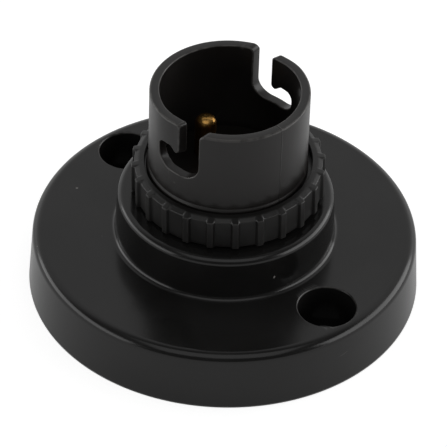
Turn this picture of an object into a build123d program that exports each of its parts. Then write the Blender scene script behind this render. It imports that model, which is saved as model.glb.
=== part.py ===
"""Batten lamp holder for a 22 mm bayonet lamp, in millimetres.

The frame: +Z is the lamp axis and the origin is the centre of the back face, which lies on
the ceiling or wall. The two fixing holes and the two contacts lie along X.

The pieces stack on one another: the base carries the contact block on a ledge inside its
neck, the terminals hang in the block, the springs and plungers stand in the terminals, the
contact disc covers them, the barrel stands on the neck, and the lock ring clamps it all.
"""

import os

from build123d import *

# Base: a round dish with a drum-shaped boss and a neck
base_diameter = 65.0
base_top_diameter = 63.6
base_height = 10.4
base_wall = 2.2
base_edge_radius = 1.6
boss_diameter = 36.4
boss_height = 8.1
boss_edge_radius = 0.9
boss_foot_radius = 1.0
neck_height = 3.7
neck_wall = 1.6
neck_edge_bevel = 0.3

# Fixing holes, sunk for the screw heads
fixing_centres = 50.8
fixing_hole_diameter = 4.8
fixing_recess_diameter = 9.6
fixing_recess_bevel = 0.2
fixing_floor = 2.0
fixing_pillar_wall = 1.8

# Stiffening ribs under the base, each side of the fixing pillars
base_rib_angle = 40.0
base_rib_thickness = 1.6
base_rib_setback = 2.0

# Barrel: the bayonet sleeve
barrel_bore = 22.8
barrel_wall = 1.47
barrel_height = 17.4
barrel_rim_bevel = 0.25
barrel_flange = 1.5
barrel_foot_step = 0.31
barrel_foot_height = 1.25
barrel_lug_width = 2.8
barrel_lug_depth = 1.7

# Bayonet slot, measured on the flat across the barrel and down from its rim
slot_angle = -81.2
slot_reach = 8.45
slot_mouth = 3.73
slot_mouth_round = 1.0
slot_floor_depth = 9.55
slot_floor_radius = 2.8
slot_notch_depth = 5.0
slot_notch_width = 2.6
slot_notch_radius = 1.2
slot_tongue_drop = 0.9
slot_tongue_flat = 0.7
slot_tongue_radius = 0.5
slot_tongue_lead = 0.6

# Lock ring: a ribbed nut with an inward lip
ring_wall = 1.0
ring_lip = 0.86
ring_lip_overlap = 0.68
ring_lip_gap = 0.34
ring_boss_gap = 0.5
ring_top_bevel = 0.45
ring_rib_count = 24
ring_rib_phase = 8.5
ring_rib_width = 1.8
ring_rib_crest = 0.7
ring_rib_height = 0.45
ring_rib_setback = 0.15

# Contact disc: the floor of the socket
disc_rim = 2.0
disc_floor_rise = 1.0
disc_edge_bevel = 0.4
contact_spacing = 11.0

# Contact block and its keys
block_height = 8.2
block_ledge = 1.6
block_ledge_width = 1.7
block_key_width = 2.0
block_key_depth = 0.7
block_key_setback = 1.0

# Plungers
plunger_diameter = 3.5
plunger_exposed = 7.4
plunger_travel = 6.0
plunger_dome_radius = 1.4
plunger_collar_diameter = 4.4
plunger_collar = 1.2
plunger_tail_diameter = 2.2
plunger_tail = 2.0

# Plunger springs
spring_wire = 0.45
spring_wire_sides = 4
spring_diameter = 3.6
spring_turns = 4.5
spring_spare = 1.2

# Terminals and their screws
terminal_wall = 0.8
terminal_flange = 1.5
terminal_flange_width = 0.8
terminal_wire_hole = 2.8
terminal_floor = 1.2
screw_diameter = 3.0
screw_head_diameter = 4.8
screw_head = 1.6
screw_head_bevel = 0.3
screw_tip_bevel = 0.3
screw_slot_width = 0.7
screw_slot_depth = 0.8
screw_standoff = 1.3
screw_head_gap = 0.3
screw_bite = 0.5

# Clearances
fit_gap = 0.1
slide_gap = 0.08
thread_gap = 0.05
cut_past = 1.0

# Radii, worked outwards from the barrel
barrel_inner = barrel_bore / 2
barrel_outer = barrel_inner + barrel_wall
foot_outer = barrel_outer + barrel_foot_step
lip_inner = foot_outer + ring_lip_gap
neck_outer = lip_inner + ring_lip_overlap
neck_inner = neck_outer - neck_wall
block_outer = neck_inner - fit_gap
ring_bore = neck_outer + fit_gap
ring_outer = ring_bore + ring_wall
ring_rib_outer = ring_outer + ring_rib_height
boss_outer = boss_diameter / 2
boss_inner = boss_outer - base_wall
contact_offset = contact_spacing / 2
plunger_radius = plunger_diameter / 2
collar_radius = plunger_collar_diameter / 2
terminal_inner = collar_radius + 2 * slide_gap
terminal_outer = terminal_inner + terminal_wall
terminal_flange_outer = terminal_outer + terminal_flange_width
screw_radius = screw_diameter / 2

# Heights, worked upwards from the back face
boss_top = base_height + boss_height
neck_top = boss_top + neck_height
flange_top = neck_top + barrel_flange
rim_top = neck_top + barrel_height
ring_bottom = boss_top + ring_boss_gap
lip_bottom = flange_top + fit_gap
ring_top = lip_bottom + ring_lip
disc_bottom = neck_top - disc_rim
socket_floor = neck_top + disc_floor_rise
block_top = disc_bottom
block_bottom = block_top - block_height
ledge_bottom = block_bottom - block_ledge
plunger_tip = socket_floor + plunger_exposed
collar_bottom = block_top - plunger_collar
spring_seat = collar_bottom - plunger_tail - plunger_travel - spring_spare
screw_head_top = screw_standoff + screw_head
terminal_bottom = screw_head_top + screw_head_gap


def turned(outline):
    """A solid turned about Z from its half section, a list of (radius, height, corner round)."""
    points = [(radius, height) for radius, height, _ in outline]
    rounds = [corner for _, _, corner in outline]
    line = FilletPolyline(*points, radius=rounds, close=True)
    return revolve(Plane.XZ * make_face(line), Axis.Z)


def upright(radius, bottom, top, x=0.0, y=0.0):
    """A plain cylinder along Z between two heights."""
    height = top - bottom
    return Pos(x, y, (bottom + top) / 2) * Cylinder(radius, height)


def block_between(x_span, y_span, z_span):
    """A box between two limits on each axis."""
    corners = (x_span, y_span, z_span)
    size = [high - low for low, high in corners]
    middle = [(high + low) / 2 for low, high in corners]
    return Pos(*middle) * Box(*size)


def both_sides(shape):
    """The shape and its copy half a turn round Z."""
    return [shape, Rot(0, 0, 180) * shape]


def base_shell():
    """The moulded dish, boss and neck as one turned wall."""
    foot = base_diameter / 2
    shoulder = base_top_diameter / 2
    roof = base_height - base_wall
    boss_roof = boss_top - base_wall
    ledge_inner = neck_inner - block_ledge_width
    outline = [
        (foot, 0, 0),
        (shoulder, base_height, base_edge_radius),
        (boss_outer, base_height, boss_foot_radius),
        (boss_outer, boss_top, boss_edge_radius),
        (neck_outer, boss_top, 0),
        (neck_outer, neck_top - neck_edge_bevel, 0),
        (neck_outer - neck_edge_bevel, neck_top, 0),
        (neck_inner, neck_top, 0),
        (neck_inner, block_bottom, 0),
        (ledge_inner, block_bottom, 0),
        (ledge_inner, ledge_bottom, 0),
        (neck_outer, ledge_bottom, 0),
        (neck_outer, boss_roof, 0),
        (boss_inner, boss_roof, 0),
        (boss_inner, roof, 0),
        (shoulder - base_wall, roof, 0),
        (foot - base_wall, 0, 0),
    ]
    return turned(outline)


def fixing_pillar():
    """The pillar round a fixing hole, standing from the back face into the roof."""
    radius = fixing_recess_diameter / 2 + fixing_pillar_wall
    pillar = upright(radius, 0, base_height - base_wall / 2, x=fixing_centres / 2)
    skirt = Cone((base_diameter - base_wall) / 2, (base_top_diameter - base_wall) / 2, base_height)
    return pillar & (Pos(0, 0, base_height / 2) * skirt)


def fixing_cut():
    """The screw hole and the sunk recess for its head."""
    hole = fixing_hole_diameter / 2
    recess = fixing_recess_diameter / 2
    outline = [
        (0, -cut_past, 0),
        (hole, -cut_past, 0),
        (hole, fixing_floor, 0),
        (recess, fixing_floor, 0),
        (recess, base_height - fixing_recess_bevel, 0),
        (recess + fixing_recess_bevel + cut_past, base_height + cut_past, 0),
        (0, base_height + cut_past, 0),
    ]
    return Pos(fixing_centres / 2, 0, 0) * turned(outline)


def base_rib(angle):
    """A stiffening rib under the base roof, from the boss to the outer wall."""
    length = (boss_inner, base_top_diameter / 2 - base_wall / 2)
    thickness = (-base_rib_thickness / 2, base_rib_thickness / 2)
    height = (base_rib_setback, base_height - base_wall / 2)
    return Rot(0, 0, angle) * block_between(length, thickness, height)


def block_key():
    """A key inside the neck that stops the contact block turning."""
    width = (-block_key_width / 2, block_key_width / 2)
    depth = (neck_inner - block_key_depth, neck_inner + neck_wall / 2)
    height = (block_bottom - block_ledge / 2, block_top - block_key_setback)
    return block_between(width, depth, height)


def lug_notch():
    """A notch in the top of the neck that takes a lug of the barrel."""
    depth = (neck_inner - neck_wall / 2, neck_outer + cut_past)
    half = barrel_lug_width / 2 + fit_gap
    height = (neck_top - barrel_lug_depth - fit_gap, neck_top + cut_past)
    return block_between(depth, (-half, half), height)


def make_base():
    """The base moulding, with its fixing holes, ribs, keys and notches."""
    base = base_shell()
    for pillar in both_sides(fixing_pillar()):
        base += pillar
    for angle in (base_rib_angle, 180 - base_rib_angle):
        for rib in both_sides(base_rib(angle)):
            base += rib
    for key in both_sides(block_key()):
        base += key
    for cut in both_sides(fixing_cut()) + both_sides(lug_notch()):
        base -= cut
    return base


def slot_outline():
    """The bayonet slot seen square on: across it and down from the rim, with corner rounds.

    The pin goes down the mouth, turns along the floor and springs up into the notch behind
    the tongue.
    """
    right = slot_reach / 2
    left = -slot_reach / 2
    tongue = right - slot_mouth
    tongue_depth = slot_notch_depth + slot_tongue_drop
    flare_left = tongue - slot_tongue_lead - cut_past
    flare_right = right + slot_mouth_round + cut_past
    return [
        (flare_left, -cut_past, 0),
        (flare_right, -cut_past, 0),
        (flare_right, -fit_gap, 0),
        (right, -fit_gap, slot_mouth_round),
        (right, slot_floor_depth, slot_floor_radius),
        (left, slot_floor_depth, slot_floor_radius),
        (left, slot_notch_depth, slot_notch_radius),
        (left + slot_notch_width, slot_notch_depth, slot_tongue_radius),
        (tongue - slot_tongue_flat, tongue_depth, slot_tongue_radius),
        (tongue, tongue_depth, slot_tongue_radius),
        (tongue, -fit_gap, slot_tongue_lead),
        (flare_left, -fit_gap, 0),
    ]


def slot_cut():
    """The slot's outline cut square through one side of the barrel."""
    outline = slot_outline()
    points = [(across, rim_top - depth) for across, depth, _ in outline]
    rounds = [corner for _, _, corner in outline]
    face = make_face(FilletPolyline(*points, radius=rounds, close=True))
    # The slot is drawn at the front and swung to its place round the lamp axis
    cut = extrude(Plane.XZ * face, barrel_outer + cut_past)
    return Rot(0, 0, slot_angle + 90) * cut


def barrel_lug():
    """A lug under the barrel's flange that sits in the neck's notch."""
    depth = (neck_inner + fit_gap, neck_outer)
    half = barrel_lug_width / 2
    height = (neck_top - barrel_lug_depth, neck_top + barrel_flange / 2)
    return block_between(depth, (-half, half), height)


def make_barrel():
    """The bayonet sleeve, with its flange, foot, lugs and two slots."""
    foot_top = flange_top + barrel_foot_height
    outline = [
        (barrel_inner, neck_top, 0),
        (neck_outer, neck_top, 0),
        (neck_outer, flange_top, 0),
        (foot_outer, flange_top, 0),
        (foot_outer, foot_top, 0),
        (barrel_outer, foot_top + barrel_foot_step, 0),
        (barrel_outer, rim_top - barrel_rim_bevel, 0),
        (barrel_outer - barrel_rim_bevel, rim_top, 0),
        (barrel_inner + barrel_rim_bevel, rim_top, 0),
        (barrel_inner, rim_top - barrel_rim_bevel, 0),
    ]
    barrel = turned(outline)
    for lug in both_sides(barrel_lug()):
        barrel += lug
    for cut in both_sides(slot_cut()):
        barrel -= cut
    return barrel


def ring_rib():
    """One grip rib on the lock ring, narrowed to a crest."""
    root = ring_outer - ring_wall / 2
    half = ring_rib_width / 2
    crest = ring_rib_crest / 2
    line = Polyline(
        (root, -half),
        (ring_outer, -half),
        (ring_rib_outer, -crest),
        (ring_rib_outer, crest),
        (ring_outer, half),
        (root, half),
        close=True,
    )
    height = ring_top - ring_rib_setback - ring_bottom
    return Pos(0, 0, ring_bottom) * extrude(make_face(line), height, dir=(0, 0, 1))


def make_lock_ring():
    """The ribbed nut that screws on the neck and clamps the barrel by its lip."""
    outline = [
        (ring_bore, ring_bottom, 0),
        (ring_outer, ring_bottom, 0),
        (ring_outer, ring_top - ring_top_bevel, 0),
        (ring_outer - ring_top_bevel, ring_top, 0),
        (lip_inner, ring_top, 0),
        (lip_inner, lip_bottom, 0),
        (ring_bore, lip_bottom, 0),
    ]
    ring = turned(outline)
    pitch = 360 / ring_rib_count
    ribs = [Rot(0, 0, ring_rib_phase + pitch * step) * ring_rib() for step in range(ring_rib_count)]
    return ring + ribs


def make_contact_disc():
    """The socket's floor, which covers the terminals and guides the plungers."""
    floor_radius = barrel_inner - fit_gap
    outline = [
        (0, disc_bottom, 0),
        (block_outer, disc_bottom, 0),
        (block_outer, neck_top, 0),
        (floor_radius, neck_top, 0),
        (floor_radius, socket_floor - disc_edge_bevel, 0),
        (floor_radius - disc_edge_bevel, socket_floor, 0),
        (0, socket_floor, 0),
    ]
    disc = turned(outline)
    guide = upright(
        plunger_radius + slide_gap, disc_bottom - cut_past, socket_floor + cut_past, x=contact_offset
    )
    for hole in both_sides(guide):
        disc -= hole
    return disc


def make_contact_block():
    """The insulating block that holds the two terminals apart."""
    block = upright(block_outer, block_bottom, block_top)
    flange_seat = block_top - terminal_flange
    bore = upright(
        terminal_outer + fit_gap, block_bottom - cut_past, block_top + cut_past, x=contact_offset
    )
    seat = upright(
        terminal_flange_outer + fit_gap, flange_seat, block_top + cut_past, x=contact_offset
    )
    half = block_key_width / 2 + fit_gap
    depth = (neck_inner - block_key_depth - fit_gap, neck_outer)
    height = (block_bottom - cut_past, block_top + cut_past)
    groove = block_between((-half, half), depth, height)
    for cut in both_sides(bore) + both_sides(seat) + both_sides(groove):
        block -= cut
    return block


def make_terminal():
    """A brass tube with a flange, a spring well, a wire hole and a screw hole, at +X."""
    flange_bottom = block_top - terminal_flange
    outline = [
        (0, terminal_bottom, 0),
        (terminal_outer, terminal_bottom, 0),
        (terminal_outer, flange_bottom, 0),
        (terminal_flange_outer, flange_bottom, 0),
        (terminal_flange_outer, block_top, 0),
        (terminal_inner, block_top, 0),
        (terminal_inner, spring_seat, 0),
        (0, spring_seat, 0),
    ]
    wire_height = spring_seat - terminal_floor - terminal_wire_hole / 2
    wire_hole = Pos(0, 0, wire_height) * Rot(90, 0, 0) * Cylinder(
        terminal_wire_hole / 2, 2 * (terminal_outer + cut_past)
    )
    screw_hole = upright(screw_radius + thread_gap, terminal_bottom - cut_past, wire_height)
    return Pos(contact_offset, 0, 0) * (turned(outline) - wire_hole - screw_hole)


def make_terminal_screw():
    """The slotted screw that pinches the wire, driven from the back, at +X."""
    head = screw_head_diameter / 2
    wire_bottom = spring_seat - terminal_floor - terminal_wire_hole
    tip = wire_bottom + screw_bite
    outline = [
        (0, screw_standoff, 0),
        (head - screw_head_bevel, screw_standoff, 0),
        (head, screw_standoff + screw_head_bevel, 0),
        (head, screw_head_top, 0),
        (screw_radius, screw_head_top, 0),
        (screw_radius, tip - screw_tip_bevel, 0),
        (screw_radius - screw_tip_bevel, tip, 0),
        (0, tip, 0),
    ]
    reach = head + cut_past
    half = screw_slot_width / 2
    depth = (screw_standoff - cut_past, screw_standoff + screw_slot_depth)
    slot = block_between((-reach, reach), (-half, half), depth)
    return Pos(contact_offset, 0, 0) * (turned(outline) - slot)


def make_plunger():
    """A brass contact with a domed nose, a stop collar and a tail in the spring, at +X."""
    tail_radius = plunger_tail_diameter / 2
    outline = [
        (0, collar_bottom - plunger_tail, 0),
        (tail_radius, collar_bottom - plunger_tail, 0),
        (tail_radius, collar_bottom, 0),
        (collar_radius, collar_bottom, 0),
        (collar_radius, block_top, 0),
        (plunger_radius, block_top, 0),
        (plunger_radius, plunger_tip, plunger_dome_radius),
        (0, plunger_tip, 0),
    ]
    return Pos(contact_offset, 0, 0) * turned(outline)


def make_spring():
    """The coil spring between the terminal's well and the plunger's collar, at +X."""
    bottom = spring_seat + spring_wire / 2
    height = collar_bottom - spring_seat - spring_wire
    coil_radius = (spring_diameter - spring_wire) / 2
    path = Pos(0, 0, bottom) * Helix(height / spring_turns, height, coil_radius)
    section = Plane(origin=path @ 0, z_dir=path % 0) * RegularPolygon(spring_wire / 2, spring_wire_sides)
    return Pos(contact_offset, 0, 0) * sweep(section, path)


def write(name, shape):
    """Writes one piece as its own file."""
    export_step(shape, f"parts/{name}.step")
    print(f"{name}: {shape.volume:.1f} cubic mm, {len(shape.solids())} solid")


os.makedirs("parts", exist_ok=True)
write("base", make_base())
write("barrel", make_barrel())
write("lock_ring", make_lock_ring())
write("contact_disc", make_contact_disc())
write("contact_block", make_contact_block())
contact_pieces = {
    "terminal": make_terminal(),
    "terminal_screw": make_terminal_screw(),
    "plunger": make_plunger(),
    "plunger_spring": make_spring(),
}
for name, shape in contact_pieces.items():
    for side, copy in zip(("right", "left"), both_sides(shape)):
        write(f"{name}_{side}", copy)
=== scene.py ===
"""Looks of a bayonet batten lamp holder: black mouldings, brass contacts and steel springs.

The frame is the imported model's: metres, +Z along the lamp axis, the back face on the floor. Sizes below are
in millimetres and become metres when a mesh is made.
"""

import logging
import math
from dataclasses import dataclass
from enum import Enum
from typing import Any, Sequence

import bmesh
import bpy
import numpy as np
from mathutils import Matrix, Vector
from mathutils.geometry import delaunay_2d_cdt


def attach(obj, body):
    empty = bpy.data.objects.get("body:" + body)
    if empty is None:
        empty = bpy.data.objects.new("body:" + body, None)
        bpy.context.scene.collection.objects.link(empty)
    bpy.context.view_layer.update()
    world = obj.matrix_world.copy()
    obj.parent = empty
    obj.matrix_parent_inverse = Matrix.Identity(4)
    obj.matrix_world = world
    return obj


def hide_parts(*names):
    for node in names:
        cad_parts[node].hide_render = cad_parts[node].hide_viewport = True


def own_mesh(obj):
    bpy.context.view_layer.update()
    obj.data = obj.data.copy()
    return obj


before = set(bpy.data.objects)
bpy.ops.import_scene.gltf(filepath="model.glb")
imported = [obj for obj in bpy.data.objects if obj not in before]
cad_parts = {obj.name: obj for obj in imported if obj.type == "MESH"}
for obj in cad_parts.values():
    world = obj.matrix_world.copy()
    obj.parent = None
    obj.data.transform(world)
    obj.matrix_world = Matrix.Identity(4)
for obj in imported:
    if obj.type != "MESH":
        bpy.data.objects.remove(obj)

LOG = logging.getLogger("lamp_holder")
MM = 0.001
WELD = 0.002 * MM
SAME_POINT = 1e-4
SMALL = 1e-6
TINY = 1e-12
NEARLY_ONE = 1.0 - 1e-9
FULL_TURN = 2.0 * math.pi
HALF_TURN_DEGREES = 180.0
QUARTER_TURN_DEGREES = 90.0
DULL_BEND = 0.9
KEEN_BEND = 2.4
NOISE_SPAN = (0.3, 0.7)
NOISE_MIDDLE = 0.5

Colour = tuple[float, float, float]
Corner = tuple[float, float, float]
Factors = tuple[float, float, float]
Limits = tuple[float, float]
Piece = bpy.types.Object
Material = bpy.types.Material
Socket = bpy.types.NodeSocket
Tree = bpy.types.NodeTree


class Side(Enum):
    """The two contacts of the holder, named as seen from the front."""

    LEFT = -1
    RIGHT = 1


class Combine(Enum):
    """How a tool shape acts on a moulding."""

    JOIN = "UNION"
    CUT = "DIFFERENCE"


@dataclass
class Skin:
    """A surface: points in millimetres, with its faces as rows of point numbers."""

    points: np.ndarray
    faces: np.ndarray

    def moved(self, x: float, y: float, z: float) -> "Skin":
        """The same skin shifted by a vector."""
        return Skin(self.points + np.array((x, y, z)), self.faces)

    def swung(self, degrees: float) -> "Skin":
        """The same skin turned about the lamp axis."""
        cosine = math.cos(math.radians(degrees))
        sine = math.sin(math.radians(degrees))
        turn = np.array(((cosine, sine, 0.0), (-sine, cosine, 0.0), (0.0, 0.0, 1.0)))
        return Skin(self.points @ turn, self.faces)


def both_sides(skin: Skin) -> list[Skin]:
    """A skin and the same half a turn further round the lamp axis."""
    return [skin, skin.swung(HALF_TURN_DEGREES)]


def unit(vectors: np.ndarray) -> np.ndarray:
    """Each row divided by its own length."""
    return vectors / np.maximum(np.linalg.norm(vectors, axis=-1, keepdims=True), TINY)


def smoothstep(values: np.ndarray, low: float, high: float) -> np.ndarray:
    """Zero below low, one above high, and a smooth S between them."""
    share = np.clip((values - low) / (high - low), 0.0, 1.0)
    return share * share * (3.0 - 2.0 * share)


def polar(radius: Any, angle: Any, height: Any) -> np.ndarray:
    """Points in space at given radii from the lamp axis, angles about it and heights."""
    return np.stack(np.broadcast_arrays(radius * np.cos(angle), radius * np.sin(angle), height), axis=-1)


def rounded(corners: Sequence[Corner], steps: int, margin: float = 0.05) -> np.ndarray:
    """Rounds the corners of a closed outline.

    Each corner gives way to an arc that touches both its sides: the arc starts its round divided by the tangent
    of half the corner's angle away from the corner. A support point stands a margin outside each end of the arc,
    so that the flat beside it stays flat in the shading.

    Args:
        corners: Rows of two coordinates and a round.
        steps: Chords in each arc.
        margin: Distance of the support points.

    Returns:
        The outline's points in order.
    """
    table = np.array(corners, float)
    at = table[:, :2]
    radius = table[:, 2:]
    back = unit(np.roll(at, 1, axis=0) - at)
    ahead = unit(np.roll(at, -1, axis=0) - at)
    half = np.arccos(np.clip((back * ahead).sum(axis=1, keepdims=True), -1.0, NEARLY_ONE)) / 2.0
    reach = radius / np.tan(half)
    middle = at + unit(back + ahead) * radius / np.sin(half)
    start = at + back * reach - middle
    end = at + ahead * reach - middle
    first = np.arctan2(start[:, 1:], start[:, :1])
    last = np.arctan2(end[:, 1:], end[:, :1])
    sweep = (last - first + math.pi) % FULL_TURN - math.pi
    angle = first + sweep * np.linspace(0.0, 1.0, steps + 1)
    arc = middle[:, None, :] + radius[:, None, :] * np.stack((np.cos(angle), np.sin(angle)), axis=-1)
    before = at + back * (reach + margin)
    after = at + ahead * (reach + margin)
    return np.concatenate((before[:, None, :], arc, after[:, None, :]), axis=1).reshape(-1, 2)


def gaps(line: np.ndarray) -> np.ndarray:
    """Distances between neighbours on a line, by its first two columns."""
    return np.linalg.norm(np.diff(line[:, :2], axis=0), axis=1)


def distinct(line: np.ndarray) -> np.ndarray:
    """A line without the points that lie on top of the one before."""
    return line[np.concatenate(([True], gaps(line) > SAME_POINT))]


def spaced(line: np.ndarray, spacing: float) -> np.ndarray:
    """Adds points to a line so that no gap is wider than the spacing, and drops points on top of one another.

    The line's own points stay. Between them come points at even steps of length along it. Further columns of the
    line are shared out at the same places.

    Args:
        line: Points in order, with two coordinates and any further columns.
        spacing: Widest gap.

    Returns:
        The finer line.
    """
    line = distinct(line)
    along = np.concatenate(([0.0], np.cumsum(gaps(line))))
    extra = np.arange(spacing, along[-1], spacing)
    nearest = np.abs(extra[:, None] - along[None, :]).min(axis=1)
    places = np.sort(np.concatenate((along, extra[nearest > spacing / 3.0])))
    return np.stack([np.interp(places, along, column) for column in line.T], axis=1)


def grid_skin(points: np.ndarray, close_rows: bool = False, close_columns: bool = False) -> Skin:
    """Joins a grid of points into quads.

    Args:
        points: Rows, columns and three coordinates.
        close_rows: Whether the last row joins the first.
        close_columns: Whether the last column joins the first.

    Returns:
        The skin, facing the side that columns crossed with rows point to.
    """
    rows, columns = points.shape[:2]
    number = np.arange(rows * columns).reshape(rows, columns)
    beside = np.roll(number, -1, axis=1)
    above = np.roll(number, -1, axis=0)
    across = np.roll(beside, -1, axis=0)
    quads = np.stack((number, beside, across, above), axis=-1)
    quads = quads[: rows if close_rows else rows - 1, : columns if close_columns else columns - 1]
    return Skin(points.reshape(-1, 3), quads.reshape(-1, 4))


def turned(outline: np.ndarray, columns: int, closed: bool = True) -> Skin:
    """Turns a half section about the lamp axis.

    Args:
        outline: Radius and height of each point, anticlockwise.
        columns: Steps round the turn.
        closed: Whether the section is a closed loop. An open one starts and ends on the axis.

    Returns:
        The turned skin.
    """
    angle = np.linspace(0.0, FULL_TURN, columns, endpoint=False)
    return grid_skin(polar(outline[:, :1], angle, outline[:, 1:]), close_rows=closed, close_columns=True)


def capped(rings: np.ndarray) -> Skin:
    """Joins rings of points, and closes the first and the last at their middles."""
    middles = np.broadcast_to(rings[[0, -1]].mean(axis=1, keepdims=True), (2, *rings.shape[1:]))
    return grid_skin(np.concatenate((middles[:1], rings, middles[1:])), close_columns=True)


def spokes(reach: Limits, half: float, rise: Limits, cut: float, angles: Sequence[float]) -> list[Skin]:
    """Upright blocks of one shape that point away from the lamp axis.

    Args:
        reach: Inner and outer limits from the axis.
        half: Half the width.
        rise: Low and high limits.
        cut: How far the upright edges are cut off.
        angles: Where the blocks stand, in degrees.

    Returns:
        A closed block at each angle.
    """
    near, far = reach
    side = half - cut
    across = np.array((near + cut, far - cut, far, far, far - cut, near + cut, near, near))
    along = np.array((-half, -half, -side, side, half, half, side, -side))
    rings = np.stack([np.stack((across, along, np.full_like(across, height)), axis=1) for height in rise])
    return [capped(rings).swung(angle) for angle in angles]


def tube(path: np.ndarray, radius: float, sides: int) -> Skin:
    """Carries a round section along a path and closes both ends.

    At each point the section stands square to the path. Its first direction is the path's tangent crossed with the
    lamp axis, its second the tangent crossed with the first.

    Args:
        path: Points of the centreline.
        radius: Radius of the section.
        sides: Points round it.

    Returns:
        The closed tube.
    """
    tangent = unit(np.gradient(path, axis=0))
    first = unit(np.cross(tangent, np.array((0.0, 0.0, 1.0))))
    second = np.cross(tangent, first)
    angle = np.linspace(0.0, FULL_TURN, sides, endpoint=False)[None, :, None]
    ring = first[:, None, :] * np.cos(angle) + second[:, None, :] * np.sin(angle)
    return capped(path[:, None, :] + radius * ring)


def piece_of(name: str, skins: Sequence[Skin]) -> Piece:
    """Puts one piece made of several skins into the scene.

    Args:
        name: Name of the piece.
        skins: The surfaces that it holds.

    Returns:
        The piece in metres, with doubled points merged and faces outward.
    """
    starts = np.cumsum([0] + [len(skin.points) for skin in skins])
    faces: list[list[int]] = []
    for skin, start in zip(skins, starts):
        faces += (skin.faces + start).tolist()
    points = np.concatenate([skin.points for skin in skins]) * MM
    mesh = bpy.data.meshes.new(name)
    mesh.from_pydata(points.tolist(), [], faces)
    shape = bmesh.new()
    shape.from_mesh(mesh)
    bmesh.ops.remove_doubles(shape, verts=shape.verts, dist=WELD)
    bmesh.ops.dissolve_degenerate(shape, edges=shape.edges, dist=WELD / 10.0)
    bmesh.ops.recalc_face_normals(shape, faces=shape.faces)
    shape.to_mesh(mesh)
    shape.free()
    piece = bpy.data.objects.new(name, mesh)
    bpy.context.scene.collection.objects.link(piece)
    return piece


def apply_modifiers(piece: Piece) -> None:
    """Replaces a piece's mesh by what its modifiers make of it."""
    bpy.context.view_layer.update()
    shaped = piece.evaluated_get(bpy.context.evaluated_depsgraph_get())
    mesh = bpy.data.meshes.new_from_object(shaped)
    piece.modifiers.clear()
    piece.data = mesh


def combine(piece: Piece, skins: Sequence[Skin], how: Combine) -> None:
    """Joins shapes to a piece or cuts them out of it.

    Args:
        piece: The piece that changes.
        skins: Closed shapes that lie clear of one another.
        how: Join or cut.
    """
    tool = piece_of(piece.name + "_tool", skins)
    step = piece.modifiers.new("combine", "BOOLEAN")
    step.operation = how.value
    step.solver = "EXACT"
    step.object = tool
    apply_modifiers(piece)
    bpy.data.objects.remove(tool)


def shade(piece: Piece, crease: float) -> None:
    """Shades a piece smooth up to a crease angle in degrees, with wide faces leading the normals."""
    mesh = piece.data
    mesh.polygons.foreach_set("use_smooth", np.ones(len(mesh.polygons), bool))
    mesh.set_sharp_from_angle(angle=math.radians(crease))
    step = piece.modifiers.new("even_normals", "WEIGHTED_NORMAL")
    step.mode = "FACE_AREA"
    step.keep_sharp = True
    apply_modifiers(piece)


def read(rows: Any, name: str, width: int = 1) -> np.ndarray:
    """Reads one property of all rows of a mesh as an array, with a column for each of its values."""
    kind = int if name in ("edge_index", "loop_total", "vertices") else float
    values = np.empty(len(rows) * width, kind)
    rows.foreach_get(name, values)
    return values.reshape(-1, width) if width > 1 else values


def mark_edges(piece: Piece, lowest: float) -> None:
    """Marks how tightly a piece's surface bends outwards at each point.

    An edge bends by the angle between its two faces over the distance between their middles, in radians per
    millimetre, and inward bends count as none. A point takes the greatest bend of its edges, and the mark rises
    smoothly from a dull bend to a keen one.

    Args:
        piece: The piece, which gets the point attribute "edge".
        lowest: Height under which nothing is marked, in millimetres.
    """
    mesh = piece.data
    loop_edge = read(mesh.loops, "edge_index")
    loop_face = np.repeat(np.arange(len(mesh.polygons)), read(mesh.polygons, "loop_total"))
    normal = read(mesh.polygons, "normal", 3)
    middle = read(mesh.polygons, "center", 3) / MM
    ends = read(mesh.edges, "vertices", 2)
    order = np.argsort(loop_edge, kind="stable")
    edge = loop_edge[order]
    face = loop_face[order]
    paired = edge[:-1] == edge[1:]
    first = face[:-1][paired]
    second = face[1:][paired]
    between = middle[second] - middle[first]
    turn = np.arccos(np.clip((normal[first] * normal[second]).sum(axis=1), -1.0, 1.0))
    bend = turn / np.maximum(np.linalg.norm(between, axis=1), SMALL)
    bend *= (normal[first] * between).sum(axis=1) < 0.0
    greatest = np.zeros(len(mesh.vertices))
    np.maximum.at(greatest, ends[edge[:-1][paired]].reshape(-1), np.repeat(bend, 2))
    height = read(mesh.vertices, "co", 3)[:, 2] / MM
    value = smoothstep(greatest, DULL_BEND, KEEN_BEND) * (height > lowest)
    mesh.attributes.new("edge", "FLOAT", "POINT").data.foreach_set("value", value.astype(np.float32))


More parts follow.
